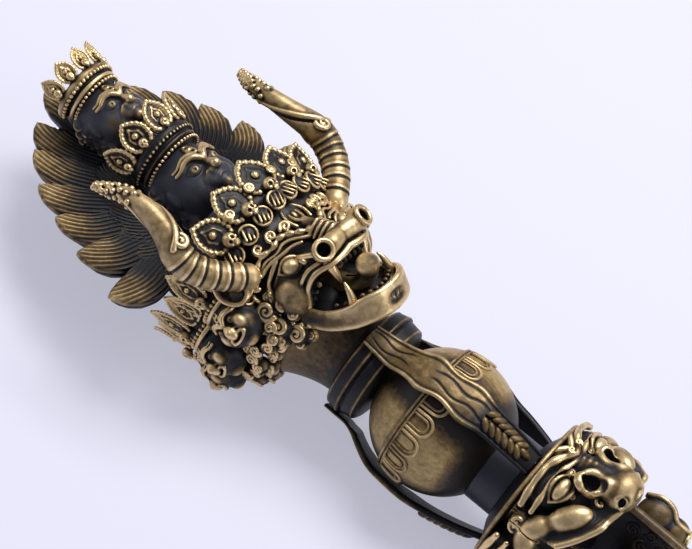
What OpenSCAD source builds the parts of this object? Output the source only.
/* [Grip bulb] */
// Radius of the round grip bulb
bulb_r = 15; // [13:0.5:18]
// Distance from the bulb's centre to each flat seat
bulb_seat = 14; // [13:0.25:14.5]
// Height of the raised band and petals on the bulb
petal_t = 0.5; // [0.3:0.1:0.9]
// Number of petals round the bulb
petal_n = 18; // [12:1:24]
// Place of the raised band, behind the bulb's centre
band_x = 4.5; // [3:0.5:6]

/* [Straps] */
// Width of each strap that arches over the bulb
strap_w = 9.2; // [7:0.2:10]
// Thickness of each strap
strap_t = 1.6; // [1.2:0.1:2.2]
// Gap between the bulb and the crown of the strap
strap_gap = 0.4; // [0.3:0.1:1]
// Turn of the three straps away from the front
strap_a = 17; // [0:1:25]
// Number of grain scales on each side of a strap's ear
ear_n = 5; // [3:1:7]

/* [Collar and neck] */
// Radius of the collar's larger ring
collar_r = 12.3; // [11:0.1:14]
// Length of the collar along the axis
collar_l = 7.5; // [6:0.5:9]
// Radius of the neck at the collar
neck_r = 9.6; // [8:0.2:10.5]
// Length of the neck column
neck_l = 11; // [9:0.5:14]

/* [Spindle and hood] */
// Radius of the plain spindle below the bulb
spindle_r = 8.6; // [7.4:0.2:9.4]
// Length of the plain spindle
spindle_l = 5; // [4:0.5:7]
// Radius of the hood rim behind the beast heads
hood_r = 15.8; // [15:0.2:16.4]
// Thickness of the hood
hood_l = 3; // [2:0.5:4]

/* [Beast heads] */
// Length of a beast head from the hood to its lip
beast_l = 18; // [15:0.5:20]
// Half width of a beast head at the cheeks
beast_w = 10.4; // [9:0.2:12]
// Height of the brow above the axis
beast_h = 16.4; // [15:0.2:18]
// Radius of the curled snout roll
snout_r = 3.6; // [3:0.1:4.2]

/* [Blade] */
// Radius of the scrolls between the flanges
scroll_r = 4.8; // [3.5:0.1:5.5]
// Height of the scrolls above the axis
scroll_h = 12; // [10:0.2:13]
// Length of the three flanged blade past the beast heads
blade_l = 108; // [90:1:140]
// Reach of each flange from the axis
blade_r = 17.2; // [14:0.2:20]
// Thickness of a flange at the axis
blade_root_t = 6.4; // [5:0.2:8]
// Thickness of a flange at its edge
blade_edge_t = 0.9; // [0.5:0.1:1.5]
// Radius of the round tang that carries the handle
tang_r = 3; // [2:0.1:3.6]
// Clearance round the tang and the flanges
fit = 0.05; // [0.02:0.01:0.1]
// Height of the serpent relief on the flanges
serpent_t = 0.6; // [0.3:0.1:1]

/* [Horned head] */
// Length of the drum that carries the lower ring of heads
core_l = 29; // [26:1:32]
// Radius of that drum
core_r = 12.4; // [11.8:0.1:12.8]
// Height of the horned head's brow above the axis
bull_h = 21.5; // [20:0.5:23]
// Half width of the horned head at the cheeks
bull_w = 11; // [10:0.2:12]
// Thickness of a horn at its base
horn_r = 3; // [2.6:0.1:3.4]
// Thickness of the lower jaw plate
jaw_t = 2.4; // [1.8:0.1:3]
// Length of each upper fang
fang_l = 5; // [3:0.5:6]

/* [Crowns] */
// Thickness of a crown leaf
leaf_t = 1.4; // [1:0.1:2]
// Height of a leaf on the lower crown
leaf_h = 8.5; // [7:0.5:9]
// Width of a leaf on the lower crown
leaf_w = 7; // [5:0.2:8]
// Size of upper crown leaves against the lower ones
leaf_k = 0.72; // [0.6:0.02:0.8]

/* [Small heads] */
// Radius of each small side head
side_r = 6.2; // [5:0.1:6.6]
// How deep each side head sits in the drum
side_sink = 0.8; // [0.4:0.1:1.2]
// Turn of the first side head away from the front
side_a = 68; // [64:1:70]
// Turn from one side head to the next
side_step = 30; // [28:1:32]
// Radius of the middle head
mid_r = 8.6; // [7.5:0.1:9]
// Height of the middle head's centre above the axis
mid_h = 9; // [8:0.2:10]
// Length of the middle tier along the axis
mid_l = 21; // [19:0.5:23]
// Radius of the top head
top_r = 7.4; // [6.5:0.1:8]
// Length of the top tier along the axis
top_l = 17; // [15:0.5:19]

/* [Flame hair] */
// Reach of the fan's middle lock past the top tier
fan_reach = 8.5; // [6:0.5:12]
// Half width of the fan at its lowest locks
fan_w = 30; // [26:0.5:34]
// Thickness of the fan
fan_t = 5; // [4:0.5:6]
// Height of the fan's front face above the axis
fan_z = 3; // [2:0.5:4]
// Number of locks on each side of the middle one
fan_n = 6; // [4:1:8]
// Width of a lock at its widest
lock_w = 8; // [6:0.5:9]

/* [Hidden] */
$fn = 48;
big = 400;
collar_x = -bulb_seat - collar_l;
neck_x = collar_x - neck_l;
core_x = neck_x - core_l;
mid_x = core_x - mid_l;
top_x = mid_x - top_l;
fan_x = top_x - fan_reach;
hood_x = bulb_seat + spindle_l;
beast_x = hood_x + hood_l;
lip_x = beast_x + beast_l;
blade_x = beast_x + 8;
tip_x = lip_x + blade_l;
tang_x = neck_x - 6;
side_c = side_a + 2 * side_step;
side_reach = core_r + side_r - side_sink;
rim_r = 0.8;
hood_root_r = spindle_r + 1.5;
neck_top = core_r + 0.6;
low_z = -max(side_reach * cos(180 - side_c) + side_r, hood_r + rim_r);
mid_axis_x = (fan_x + tip_x) / 2;
face_x = neck_x - 12;
wedge_a = atan((blade_root_t - blade_edge_t) / 2 / blade_r);
brass = [0.66, 0.53, 0.3];
dark = [0.14, 0.13, 0.13];
brown = [0.45, 0.35, 0.18];

// Lifts the object so that it rests on its back with its middle over the origin
module place() {
  translate([-mid_axis_x, 0, -low_z]) children();
}

// Turns a shape drawn up the Z axis so that it runs along the handle
module along(x0) {
  translate([x0, 0, 0]) rotate([0, 90, 0]) children();
}

// Extrudes a side outline, drawn as length and height, to a width across
module across(w) {
  rotate([90, 0, 0]) linear_extrude(w, center = true) children();
}

// Extrudes a section, drawn as across and height, along the handle
module lengthwise(x0, x1) {
  translate([x0, 0, 0]) rotate([90, 0, 90]) linear_extrude(x1 - x0) children();
}

// Round rod between two points
module rod(p, q, r1, r2) {
  d = q - p;
  translate(p) rotate([0, acos(d[2] / norm(d)), atan2(d[1], d[0])]) cylinder(r1 = r1, r2 = r2, h = norm(d));
}

// Wedge of space round the handle between two turns from the front
module sector(a0, a1, x0, x1) {
  lengthwise(x0, x1)
    polygon(concat([[0, 0]], [for (i = [0:4]) let (a = a0 + (a1 - a0) * i / 4) [-sin(a) * 60, cos(a) * 60]]));
}

module bore(x0, x1) {
  along(x0 - 0.5) cylinder(r = tang_r + fit, h = x1 - x0 + 1);
}

// Flange reach along the blade
function blade_reach(s) = blade_r * (1 - pow(s, 2.4)) + 0.3;

module flange_section(grow) {
  root = blade_root_t / 2 + grow;
  edge = blade_edge_t / 2 + grow;
  polygon([[-root, -1], [-root, 0], [-edge, blade_r + 1], [edge, blade_r + 1], [root, 0], [root, -1]]);
}

// Three flanges, cut to the blade's outline by one turned shape
module blade() {
  n = 16;
  color(dark) place() {
    intersection() {
      lengthwise(blade_x, tip_x) union() {
        for (k = [0:2]) rotate(120 * k) flange_section(0);
      }
      along(blade_x - 1) rotate_extrude($fn = 72) polygon(concat([[0, 0], [blade_r + 0.3, 0]],
        [for (i = [0:n]) let (s = i / n) [blade_reach(s), 1 + s * (tip_x - blade_x)]],
        [[0, 1 + tip_x - blade_x]]));
    }
    along(tang_x) cylinder(r = tang_r, h = blade_x - tang_x + 2);
  }
}

// Middle line and half width of the serpent that lies along each flange face
function serpent_z(s) = blade_reach(s) * (0.56 + 0.2 * sin(s * 1500));
function serpent_w(s) = (1 - s) * blade_r * 0.06 + 0.35;

module serpent() {
  n = 44;
  a = 0.06;
  b = 0.84;
  x0 = lip_x + 12;
  l = tip_x - x0;
  function px(i) = x0 + l * (a + (b - a) * i / n);
  function sp(i) = (px(i) - blade_x) / (tip_x - blade_x);
  rotate([wedge_a, 0, 0]) rotate([90, 0, 0]) translate([0, 0, -serpent_t])
    linear_extrude(serpent_t)
      union() {
        polygon(concat(
          [for (i = [0:n]) [px(i), serpent_z(sp(i)) + serpent_w(sp(i))]],
          [for (i = [n:-1:0]) [px(i), serpent_z(sp(i)) - serpent_w(sp(i))]]));
        translate([px(0), serpent_z(sp(0))]) circle(r = 2 * serpent_w(sp(0)));
      }
}

module serpents() {
  color(brass) place()
    for (k = [0:2]) rotate([120 * k, 0, 0]) for (m = [0, 1]) mirror([0, m, 0])
      translate([0, blade_root_t / 2 + 0.01, 0]) serpent();
}

// Beast head with brow bands, lidded eyes, round nostrils and a curled snout
module beast() {
  ex = beast_x + 4.5;
  nx = beast_x + 9.5;
  difference() {
    intersection() {
      union() {
        along(beast_x) cylinder(r1 = hood_r - 0.8, r2 = hood_r - 5, h = beast_l - 4);
        translate([ex + 1, 0, beast_h - 8]) sphere(r = 8);
        for (m = [0, 1]) mirror([0, m, 0]) {
          translate([ex + 3.5, beast_w - 2.4, beast_h - 5]) sphere(r = 4);
          translate([ex + 7, beast_w - 3.6, beast_h - 4]) sphere(r = 3);
          translate([ex, 6.6, beast_h - 1.8]) rotate([-30, 0, 0]) {
            rotate_extrude() translate([2.5, 0]) circle(r = 0.6, $fn = 16);
            sphere(r = 2.2);
          }
          for (j = [0, 1]) translate([ex - 0.6 * j, 5.2, beast_h - 2.5]) rotate([0, 90, 50])
            rotate_extrude(angle = 180) translate([4.3 + 1.3 * j, 0]) circle(r = 0.65, $fn = 16);
          translate([nx, 2.7, beast_h + 4.2]) rotate([0, 60, 0]) difference() {
            cylinder(r = 2.3, h = 2.4, center = true);
            translate([0, 0, 0.4]) cylinder(r = 1.4, h = 2);
          }
        }
        hull() {
          translate([ex + 2, 0, beast_h - 2]) sphere(r = 4, $fn = 32);
          translate([nx, 0, beast_h + 2]) sphere(r = snout_r, $fn = 32);
        }
        translate([lip_x - snout_r, 0, beast_h + 2]) rotate([90, 0, 0])
          cylinder(r = snout_r, h = 5, center = true);
        for (m = [0, 1]) mirror([0, m, 0]) {
          translate([lip_x - snout_r, 2.5, beast_h + 2]) sphere(r = snout_r);
          rod([lip_x - snout_r, 2.5, beast_h + 1], [beast_x + 11.5, beast_w + 3, beast_h - 6],
            snout_r * 0.7, snout_r * 0.5);
        }
      }
      sector(-60 + 0.2, 60 - 0.2, beast_x, lip_x + 5);
    }
    bore(beast_x, blade_x + 1);
    lengthwise(blade_x - 0.05, lip_x + 9) flange_section(fit);
  }
}

// Rolled scroll that fills the valley between two flanges, just past the lips
module scroll() {
  x = lip_x + 0.2 + scroll_r;
  difference() {
    union() {
      translate([x, 0, scroll_h]) rotate([0, 90, 0]) sphere(r = scroll_r);
      translate([x + scroll_r * 0.8, 0, scroll_h - 0.4]) rotate([0, 90, 0]) sphere(r = scroll_r * 0.75);
      translate([x + 0.6, 0, 2]) cylinder(r = scroll_r * 0.5, h = scroll_h - 2);
    }
    for (k = [0:2]) rotate([120 * k + 60, 0, 0]) lengthwise(lip_x - 1, x + 3 * scroll_r) flange_section(fit);
  }
}

module scrolls() {
  color(brass) place() for (k = [0:2]) rotate([120 * k + 60, 0, 0]) scroll();
}

module beast_front() {
  color(brass) place() beast();
}

module beast_near() {
  color(brass) place() rotate([120, 0, 0]) beast();
}

module beast_far() {
  color(brass) place() rotate([-120, 0, 0]) beast();
}

// Hood dish behind the three beast heads, with a rolled rim
module hood() {
  color(brass) place() difference() {
    union() {
      along(hood_x) cylinder(r1 = hood_root_r, r2 = hood_r, h = hood_l);
      along(hood_x + hood_l - rim_r) rotate_extrude() translate([hood_r, 0]) circle(r = rim_r, $fn = 48);
    }
    bore(hood_x, beast_x);
    translate([beast_x, -50, -50]) cube([30, 100, 100]);
  }
}

module spindle() {
  color(dark) place() difference() {
    along(bulb_r - spindle_r * 0.5) cylinder(r = spindle_r, h = hood_x - bulb_r + spindle_r * 0.5, $fn = 96);
    bulb_shape();
    bore(bulb_seat, hood_x);
  }
}

module bulb_shape() {
  difference() {
    rotate([0, 90, 0]) sphere(r = bulb_r, $fn = 96);
    for (m = [0, 1]) mirror([m, 0, 0]) translate([bulb_seat, -50, -50]) cube([50, 100, 100]);
  }
}

module bulb() {
  color(brown) place() difference() {
    bulb_shape();
    bore(-bulb_seat, bulb_seat);
  }
}

// Raised ring and a row of round ended petals, lying on the bulb
module petals() {
  w = 2 * 3.1416 * bulb_r / petal_n * 0.8;
  color(brass) place() difference() {
    intersection() {
      rotate([0, 90, 0]) sphere(r = bulb_r + petal_t, $fn = 96);
      union() {
        along(-band_x - 0.6) cylinder(r = bulb_r + 3, h = 1.2);
        for (i = [0:petal_n - 1]) rotate([360 / petal_n * (i + 0.5), 0, 0])
          translate([-band_x, 0, bulb_r * 0.6]) linear_extrude(bulb_r) difference() {
            union() {
              translate([0, -w / 2]) square([4.5, w]);
              translate([4.5, 0]) circle(r = w / 2);
            }
            translate([1.2, 0]) circle(r = w / 2 - 0.7);
            translate([4.5, 0]) circle(r = w / 2 - 0.7);
            translate([1.2, -w / 2 + 0.7]) square([3.3, w - 1.4]);
          }
      }
    }
    rotate([0, 90, 0]) sphere(r = bulb_r, $fn = 96);
  }
}

// Height of a strap's outer face above the axis, along the handle
strap_x0 = collar_x + 0.5;
strap_seat_r = collar_r + 0.5;
strap_x1 = hood_x + hood_l * 0.63;
strap_end_r = hood_root_r + (hood_r - hood_root_r) * 0.63 - 0.4;
strap_top = bulb_r + petal_t + strap_gap + strap_t;
function strap_z(x) = x < 0
  ? strap_top - (strap_top - strap_seat_r) * pow(min(1, -x / bulb_seat), 2.2)
  : strap_top - (strap_top - strap_end_r) * pow(x / strap_x1, 1.85);

module strap() {
  n = 28;
  function sx(i) = strap_x0 + (strap_x1 - strap_x0) * i / n;
  difference() {
    union() {
      intersection() {
        across(strap_w) polygon(concat(
          [for (i = [0:n]) [sx(i), strap_z(sx(i))]],
          [for (i = [n:-1:0]) [sx(i), strap_z(sx(i)) - strap_t]]));
        linear_extrude(2 * bulb_r) union() {
          for (m = [0, 1]) mirror([0, m])
            polygon([[strap_x0, -1], [strap_x0, strap_w * 0.26], [-bulb_seat, strap_w * 0.36],
              [strap_x1, strap_w * 0.36], [strap_x1, -1]]);
          translate([-bulb_seat * 0.45, 0]) circle(d = strap_w);
          translate([strap_x1 * 0.2, 0]) circle(d = strap_w);
        }
      }
      for (i = [0:ear_n - 1]) let (x = bulb_seat * 0.62 + i * 1.7) for (s = [-1, 1])
        translate([x, s * strap_w * 0.2, strap_z(x)]) sphere(r = 1.5, $fn = 20);
    }
    along(-big / 2) cylinder(r = spindle_r + 0.6, h = big);
    sphere(r = bulb_r + petal_t + 0.1, $fn = 96);
    along(hood_x) cylinder(r1 = hood_root_r, r2 = hood_r, h = hood_l);
    collar_shape();
  }
}

module strap_front() {
  color(brass) place() rotate([strap_a, 0, 0]) strap();
}

module strap_near() {
  color(brass) place() rotate([strap_a + 120, 0, 0]) strap();
}

module strap_far() {
  color(brass) place() rotate([strap_a - 120, 0, 0]) strap();
}

// Collar with two raised rings and a groove between them
module collar_shape() {
  difference() {
    union() {
      along(collar_x) cylinder(r = neck_r + 0.6, h = collar_l);
      for (ring = [[0.36, 1], [0.86, 1.4]]) along(collar_x + collar_l * ring[0])
        rotate_extrude() translate([collar_r - ring[1], 0]) circle(r = 1, $fn = 24);
      along(collar_x + collar_l * 0.22) cylinder(r = collar_r - 1, h = collar_l * 0.78);
    }
    along(collar_x + collar_l * 0.5)
      rotate_extrude() translate([collar_r - 1.2, 0]) square([3, collar_l * 0.2]);
  }
}

module collar() {
  color(brass) place() difference() {
    collar_shape();
    bore(collar_x, -bulb_seat);
  }
}

// Plain neck column that widens to the heads
module neck() {
  n = 10;
  color(brown) place() difference() {
    along(neck_x) rotate_extrude($fn = 64) polygon(concat(
      [[0, neck_l], [0, 0]],
      [for (i = [0:n]) let (s = i / n) [neck_r + (neck_top - neck_r) * pow(1 - s, 1.8), neck_l * s]]));
    bore(tang_x, collar_x);
  }
}

// Drum that carries the lower ring of heads
module head_core() {
  color(dark) place() difference() {
    along(core_x) cylinder(r = core_r, h = core_l);
    along(tang_x - 0.5) cylinder(r = tang_r + fit, h = 30);
  }
}

module core_cut() {
  along(core_x - 40) cylinder(r = core_r, h = core_l + 80);
}

// Round masses of the horned head's skull, brow and cheeks
module bull_balls() {
  translate([face_x - 6, 0, bull_h - 10]) sphere(r = 10, $fn = 64);
  translate([face_x + 2, 0, bull_h - 7.5]) sphere(r = 8, $fn = 64);
  for (s = [-1, 1]) {
    translate([face_x + 4.5, s * (bull_w - 5), bull_h - 6.5]) sphere(r = 5.4);
    translate([face_x - 4, s * (bull_w - 5), bull_h - 6]) sphere(r = 5.6);
  }
}

// Skull of the horned head in front of the drum
module bull_mass() {
  intersection() {
    difference() {
      union() {
        bull_balls();
        for (s = [-1, 1]) {
          for (j = [0:2]) translate([face_x - 3.5 + j * 0.9, s * 4.6, bull_h - 2.6 + j * 0.3])
            rotate([0, 90, 0]) rotate([0, 0, 180]) rotate_extrude(angle = 360)
              translate([3.8 - j * 1.1, 0]) circle(r = 0.6, $fn = 16);
        }
        translate([face_x - 4.2, 0, bull_h - 0.6]) rotate([0, 25, 0])
          rotate_extrude() translate([1.8, 0]) circle(r = 0.5, $fn = 16);
      }
      core_cut();
      translate([face_x + 7.5, -bull_w, 0]) cube([40, 2 * bull_w, bull_h - 1.5]);
    }
    sector(-side_a + side_step / 2, side_a - side_step / 2, core_x, neck_x + 6);
  }
}

module bull_head() {
  color(dark) place() difference() {
    bull_mass();
    eye_balls();
    muzzle_shape();
    crown_band();
  }
}

module eye_balls() {
  for (s = [-1, 1]) translate([face_x + 0.6, s * 6.4, bull_h - 3.4]) sphere(r = 2.3);
}

module bull_eyes() {
  color(brass) place() eye_balls();
}

// Nose bar with two round nostrils and the upper lip
module muzzle_shape() {
  mx = face_x + 8.2;
  difference() {
    union() {
      hull() {
        translate([face_x + 2.6, 0, bull_h - 1]) sphere(r = 2.6, $fn = 32);
        translate([mx, 0, bull_h + 2.2]) sphere(r = 2.4, $fn = 32);
      }
      translate([mx, 0, bull_h + 2.6]) rotate([90, 0, 0]) cylinder(r = 2, h = 10, center = true);
      for (s = [-1, 1]) translate([mx, s * 6.1, bull_h + 3.2]) rotate([0, 55, s * 25]) {
        rotate_extrude() translate([2, 0]) circle(r = 0.75, $fn = 20);
        translate([0, 0, -1.6]) cylinder(r = 2.2, h = 1.4);
      }
      translate([mx + 0.6, 0, bull_h]) rotate([0, 70, 0])
        rotate_extrude(angle = 180) translate([8, 0]) circle(r = 1.1, $fn = 20);
      translate([mx + 0.6, 0, bull_h]) rotate([0, 70, 0]) rotate([0, 0, 180])
        rotate_extrude(angle = 180) translate([8, 0]) circle(r = 1.1, $fn = 20);
      translate([mx - 3, -7.5, bull_h - 4]) cube([3.4, 15, 4.6]);
    }
    core_cut();
    translate([mx + 0.4, -20, -20]) cube([40, 40, 20 + bull_h - 0.2]);
  }
}

module bull_muzzle() {
  color(brass) place() difference() {
    muzzle_shape();
    eye_balls();
  }
}

// Broad lower jaw plate that opens away from the upper lip
module jaw_shape() {
  jx = face_x + 7;
  difference() {
    union() {
      translate([jx, 0, core_r - 1.5]) rotate([0, -36, 0]) difference() {
        linear_extrude(jaw_t + 2.2) union() {
          translate([0, -7.9]) square([11, 15.8]);
          translate([11, 0]) circle(r = 8);
        }
        translate([0, 0, jaw_t]) linear_extrude(6) union() {
          translate([-1, -6.3]) square([12, 12.6]);
          translate([11, 0]) circle(r = 6.4);
        }
      }
      translate([jx + 0.2, -7.4, core_r - 3]) cube([5, 14.8, 3.4]);
    }
    core_cut();
    along(neck_x) cylinder(r = neck_top, h = neck_l);
  }
}

module bull_jaw() {
  color(brass) place() difference() {
    jaw_shape();
    bull_balls();
  }
}

module tongue_shape() {
  translate([face_x + 8.4, 0, core_r - 1.5]) rotate([0, -36, 0]) translate([0, 0, jaw_t]) {
    translate([0, -2.4, 0]) cube([8, 4.8, 2.2]);
    translate([8, 0, 0]) cylinder(r = 2.4, h = 2.2);
    translate([8, 0, 2.2]) sphere(r = 1.8);
  }
}

module bull_tongue() {
  color(brass) place() difference() {
    tongue_shape();
    core_cut();
    bull_balls();
    jaw_shape();
  }
}

// Two upper fangs under the lip, as cones
module bull_fangs() {
  color(brass) place() difference() {
    for (s = [-1, 1]) translate([face_x + 8.6, s * 6.4, bull_h + 0.2]) rotate([0, 108, s * 6])
      cylinder(r1 = 1.2, r2 = 0.3, h = fang_l);
    muzzle_shape();
    bull_balls();
    jaw_shape();
  }
}

// Route of a horn from the temple, out past the brow and back along the heads
horn_path = [[2, 10.5, -3.6], [-1.6, 16.2, -4.6], [-5.6, 20, -4.3], [-9.6, 22.6, -3.8],
  [-13.4, 23.3, -2.8], [-18, 22.2, -1.4], [-24, 21.5, -1], [-29, 21.6, -1.6], [-33, 22.6, -2.5]];
function horn_pt(i) = [face_x + 0.6 + horn_path[i][0], horn_path[i][1], bull_h + horn_path[i][2]];
function horn_w(i) = i < 4 ? horn_r : horn_r * (1 - 0.15 * (i - 3));

module horn_shape() {
  k = len(horn_path) - 1;
  for (i = [0:k - 1]) hull() {
    translate(horn_pt(i)) sphere(r = horn_w(i), $fn = 16);
    translate(horn_pt(i + 1)) sphere(r = horn_w(i + 1), $fn = 16);
  }
  for (i = [0:4]) let (s = i / 4, a = horn_pt(1) * (1 - s) + horn_pt(3) * s)
    hull() for (d = [-0.5, 0.5]) translate(a + [-0.7 * d, 0.7 * d, 0])
      sphere(r = horn_r + 0.45, $fn = 16);
}

module horn_near() {
  color(brass) place() difference() {
    mirror([0, 1, 0]) horn_shape();
    near_cuts();
  }
}

module horn_far() {
  color(brass) place() difference() {
    horn_shape();
    mirror([0, 1, 0]) near_cuts();
  }
}

module near_cuts() {
  bull_mass();
  eye_balls();
  muzzle_shape();
  core_cut();
  mirror([0, 1, 0]) ear_shape();
  side_head(0);
  skull_crown_shape();
}

// Leaf shaped ear cup below each horn
module ear_shape() {
  difference() {
    translate([face_x + 1.5, bull_w + 0.6, bull_h - 8.5]) rotate([28, 0, 24]) difference() {
      union() {
        hull() {
          cylinder(r = 2.6, h = 1.6, $fn = 32);
          translate([-6.5, 0.8, 0]) cylinder(r = 0.6, h = 1.6, $fn = 32);
        }
        translate([0, 0, -2]) cylinder(r = 1.6, h = 2.2);
      }
      translate([0, 0, 0.9]) hull() {
        cylinder(r = 1.8, h = 2, $fn = 32);
        translate([-4.6, 0.6, 0]) cylinder(r = 0.3, h = 2, $fn = 32);
      }
    }
    bull_balls();
    core_cut();
    sector(-180, -side_a + side_step / 2, core_x, neck_x + 6);
  }
}

module ear_near() {
  color(brass) place() mirror([0, 1, 0]) ear_shape();
}

module ear_far() {
  color(brass) place() ear_shape();
}

// Crown leaf with a roped border, a jewel and a small skull at its foot
module leaf(k) {
  w = leaf_w * k;
  h = leaf_h * k;
  difference() {
    linear_extrude(leaf_t) union() {
      translate([0, 0]) circle(r = w / 2);
      polygon([[0, -w / 2], [-h * 0.45, -w * 0.42], [-h, 0], [-h * 0.45, w * 0.42], [0, w / 2]]);
    }
    translate([0, 0, leaf_t * 0.6]) linear_extrude(leaf_t) union() {
      circle(r = w / 2 - 0.8 * k);
      polygon([[0, -w / 2 + 0.9 * k], [-h * 0.42, -w * 0.3], [-h * 0.8, 0], [-h * 0.42, w * 0.3],
        [0, w / 2 - 0.9 * k]]);
    }
  }
  translate([-h * 0.35, 0, leaf_t * 0.5]) sphere(r = 1.1 * k);
  translate([w * 0.12, 0, leaf_t * 0.7]) sphere(r = 1.7 * k);
}

// Ring of the lower crown across the brow of the horned head
module crown_band() {
  translate([face_x - 10.5, 0, bull_h - 10]) rotate([0, 90, 0])
    rotate_extrude() translate([10.4, 0]) square([1.6, 3.4], center = true);
}

module skull_crown_shape() {
  difference() {
    union() {
      crown_band();
      for (i = [-2:2]) rotate_round(i * 31, bull_h - 10, 11) translate([face_x - 10.5, 0, 0])
        leaf(i == 0 ? 1.05 : 1);
      for (i = [-3:2]) rotate_round((i + 0.5) * 31, bull_h - 10, 11.2)
        translate([face_x - 8.6, 0, 0.4]) cylinder(r = 1.5, h = 1);
    }
    core_cut();
    translate([face_x - 60, -60, -60]) cube([120, 120, 60 + core_r * 0.6]);
  }
}

// Turns a piece round a line parallel to the handle, at a height and a radius
module rotate_round(a, h, r) {
  translate([0, 0, h]) rotate([-a, 0, 0]) translate([0, 0, r]) children();
}

module skull_crown() {
  color(brass) place() skull_crown_shape();
}

// Small side head with brow, nose, open mouth and three crown leaves
module side_head(i) {
  a = side_a + i * side_step;
  hx = face_x + 2;
  intersection() {
    difference() {
      rotate([a, 0, 0]) {
        translate([hx, 0, side_reach]) sphere(r = side_r);
        translate([hx - 6, 0, side_reach - 1.5]) sphere(r = side_r - 0.6);
        translate([hx - 1, 0, side_reach + side_r - 1.6]) rotate([0, 76, 0])
          cylinder(r1 = 1.1, r2 = 1.6, h = 4);
        translate([hx + 2.9, 0, side_reach + side_r - 0.6]) sphere(r = 1.6);
        for (s = [-1, 1]) {
          translate([hx - 0.6, s * 2.4, side_reach + side_r - 1.5]) sphere(r = 1.1);
          translate([hx - 2, s * 2.4, side_reach + side_r - 1.5]) rotate([0, 60, 0])
            rotate_extrude() translate([1.7, 0]) circle(r = 0.4, $fn = 16);
        }
        for (s = [-1:1]) translate([hx - 9, s * 4, side_reach + side_r - 3.4 - abs(s) * 0.8])
          rotate([-s * 26, 30, 0]) leaf(leaf_k * 1.1);
        along(hx - 9) translate([-side_reach + 1, 0, 0]) cylinder(r = side_r - 0.2, h = 1.6);
      }
      core_cut();
      translate([core_x - 10, -60, low_z - 40]) cube([80, 120, 40]);
      rotate([a, 0, 0]) translate([hx + 4.2, -2.4, side_reach + side_r - 3]) cube([1.6, 4.8, 6]);
    }
    sector(a - side_step / 2, i == 2 ? 179.8 : a + side_step / 2, core_x, neck_x);
  }
}

module side_near_1() {
  color(brass) place() side_head(0);
}

module side_near_2() {
  color(brass) place() side_head(1);
}

module side_near_3() {
  color(brass) place() side_head(2);
}

module side_far_1() {
  color(brass) place() mirror([0, 1, 0]) side_head(0);
}

module side_far_2() {
  color(brass) place() mirror([0, 1, 0]) side_head(1);
}

module side_far_3() {
  color(brass) place() mirror([0, 1, 0]) side_head(2);
}

// Face mass of an upper head, with brows, eyes, nose and ears
module face_mass(cx, cz, r, x0, x1) {
  intersection() {
    union() {
      translate([cx, 0, cz]) sphere(r = r, $fn = 64);
      translate([cx - r * 0.75, 0, cz - r * 0.2]) sphere(r = r * 0.85);
      translate([cx + r * 0.65, 0, cz + r * 0.1]) sphere(r = r * 0.62);
      translate([cx - r * 0.1, 0, cz + r * 0.9]) rotate([0, 80, 0])
        cylinder(r1 = r * 0.12, r2 = r * 0.18, h = r * 0.45);
      translate([cx + r * 0.34, 0, cz + r * 0.98]) sphere(r = r * 0.17);
      for (s = [-1, 1]) {
        translate([cx - r * 0.02, s * r * 0.42, cz + r * 0.84]) sphere(r = r * 0.16);
        translate([cx - r * 0.2, s * r * 0.42, cz + r * 0.84]) rotate([s * -24, -12, 0])
          rotate_extrude() translate([r * 0.22, 0]) circle(r = r * 0.06, $fn = 16);
        translate([cx + r * 0.1, s * r * 1.0, cz - r * 0.1]) sphere(r = r * 0.28);
      }
      translate([cx + r * 0.62, 0, cz + r * 0.6]) rotate([90, 0, 0])
        cylinder(r = r * 0.12, h = r * 0.6, center = true);
    }
    translate([x0, -30, fan_z]) cube([x1 - x0, 60, 40]);
  }
}

mid_cx = core_x - mid_l * 0.34;
top_cx = mid_x - top_l * 0.5;
function crown_at(cx, r) = cx - r * 0.88;

module middle_head() {
  color(dark) place() difference() {
    face_mass(mid_cx, mid_h, mid_r, mid_x, core_x);
    crown_cap(crown_at(mid_cx, mid_r), mid_h, mid_r);
  }
}

module top_head() {
  color(dark) place() difference() {
    face_mass(top_cx, mid_h, top_r, top_x, mid_x);
    crown_cap(crown_at(top_cx, top_r), mid_h, top_r);
  }
}

// Crown band round an upper head
module crown_cap(x, z, r) {
  intersection() {
    translate([x, 0, z - r * 0.14]) rotate([0, 90, 0])
      rotate_extrude() translate([r * 0.86, 0]) square([r * 0.26, 2.6], center = true);
    translate([x - 30, -30, fan_z]) cube([60, 60, 60]);
  }
}

// Crown with five leaves that lean out from an upper head
module leaf_crown(x, z, r) {
  crown_cap(x, z, r);
  intersection() {
    union() {
      for (i = [-2:2]) rotate_round(i * 33, z - r * 0.14, r * 0.9) translate([x, 0, 0])
        rotate([0, 12, 0]) leaf(leaf_k);
      for (i = [-7:7]) rotate_round(i * 11, z - r * 0.14, r * 0.98) translate([x + 0.2, 0, 0.1])
        sphere(r = 0.6, $fn = 16);
    }
    translate([x - 30, -30, fan_z]) cube([60, 60, 60]);
  }
}

module middle_crown() {
  color(brass) place() difference() {
    leaf_crown(crown_at(mid_cx, mid_r), mid_h, mid_r);
    face_cut(mid_cx, mid_h, mid_r, mid_x, core_x);
    face_mass(top_cx, mid_h, top_r, top_x, mid_x);
    crown_cap(crown_at(top_cx, top_r), mid_h, top_r);
  }
}

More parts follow.
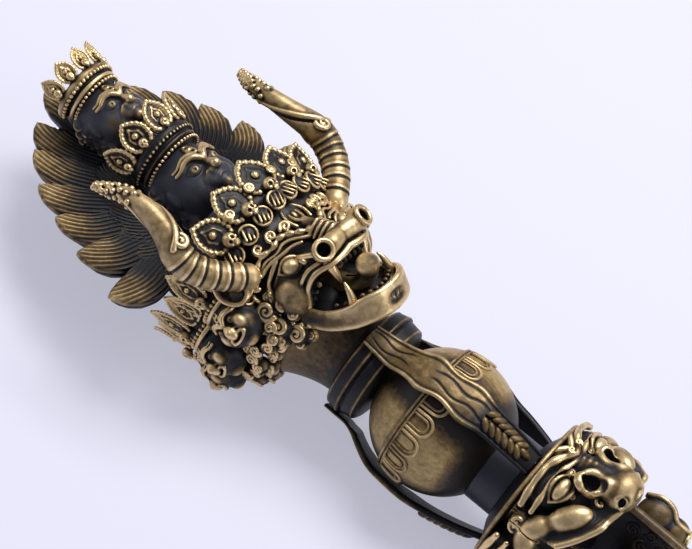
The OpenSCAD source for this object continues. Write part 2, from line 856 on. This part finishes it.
module top_crown() {
  x = crown_at(top_cx, top_r);
  color(brass) place() {
    crown_cap(x, mid_h, top_r);
    difference() {
      for (i = [-2:2]) rotate_round(i * 33, mid_h - top_r * 0.14, top_r * 0.9) translate([x, 0, 0])
        rotate([0, 12, 0]) leaf(leaf_k);
      translate([top_cx, 0, mid_h]) sphere(r = top_r, $fn = 64);
      translate([x - 1.2, -30, -30]) cube([30, 60, 60]);
      translate([top_cx - top_r * 0.75, 0, mid_h - top_r * 0.2]) sphere(r = top_r * 0.85);
    }
  }
}

// Face with its crown groove left open, so that the crown seats in it
module face_cut(cx, cz, r, x0, x1) {
  difference() {
    face_mass(cx, cz, r, x0, x1);
    crown_cap(crown_at(cx, r), cz, r);
  }
}

// Fan of flame shaped locks behind the upper heads
function tip_of(i) = let (s = abs(i) / fan_n) [
  fan_x + (core_x - 4 - fan_x) * pow(s, 1.55),
  sign(i) * fan_w * (1.55 * s - 0.55 * s * s)];
function root_of(i) = let (s = abs(i) / fan_n) [
  mid_x + 2 + (core_x - 6 - mid_x) * s,
  sign(i) * 6 * s];

module lock(i) {
  p = root_of(i);
  q = tip_of(i);
  l = norm(q - p);
  a = atan2(q[1] - p[1], q[0] - p[0]);
  n = 12;
  bend = -sign(i) * 1.6;
  function off(s) = bend * sin(s * 180) * (i == 0 ? 0 : 1);
  function hw(s) = lock_w / 2 * pow(sin(pow(s, 0.7) * 172 + 6), 0.7);
  translate([p[0], p[1], 0]) rotate([0, 0, a]) {
    polygon(concat(
      [for (k = [0:n]) let (s = k / n) [l * s, off(s) + (k == n ? 0 : hw(s))]],
      [for (k = [n - 1:-1:0]) let (s = k / n) [l * s, off(s) - hw(s)]]));
  }
}

module lock_rib(i, o) {
  p = root_of(i);
  q = tip_of(i);
  l = norm(q - p);
  a = atan2(q[1] - p[1], q[0] - p[0]);
  translate([p[0], p[1], 0]) rotate([0, 0, a])
    polygon([[l * 0.4, o - 0.35], [l * 0.9, o * 0.4 - 0.15], [l * 0.9, o * 0.4 + 0.15], [l * 0.4, o + 0.35]]);
}

module flame_fan() {
  color(brass) place() intersection() {
    union() {
      for (i = [-fan_n:fan_n]) {
        translate([0, 0, fan_z - fan_t]) linear_extrude(fan_t - 0.5 * (abs(i) % 2) - 0.5) lock(i);
        for (o = [-2, 0, 2]) translate([0, 0, fan_z - fan_t])
          linear_extrude(fan_t - 0.4 * (abs(i) % 2)) lock_rib(i, o);
      }
      translate([mid_x - 12, -9, fan_z - fan_t]) cube([core_x - mid_x + 12, 18, fan_t]);
      for (s = [-1, 1]) translate([core_x - 8, s * 8, fan_z - fan_t]) cylinder(r = 6, h = fan_t);
    }
    translate([fan_x - 5, -60, -30]) cube([core_x - fan_x + 5, 120, 60]);
  }
}

blade();
serpents();
scrolls();
beast_front();
beast_near();
beast_far();
hood();
spindle();
bulb();
petals();
strap_front();
strap_near();
strap_far();
collar();
neck();
head_core();
bull_head();
bull_eyes();
bull_muzzle();
bull_jaw();
bull_tongue();
bull_fangs();
horn_near();
horn_far();
ear_near();
ear_far();
skull_crown();
side_near_1();
side_near_2();
side_near_3();
side_far_1();
side_far_2();
side_far_3();
middle_head();
middle_crown();
top_head();
top_crown();
flame_fan();
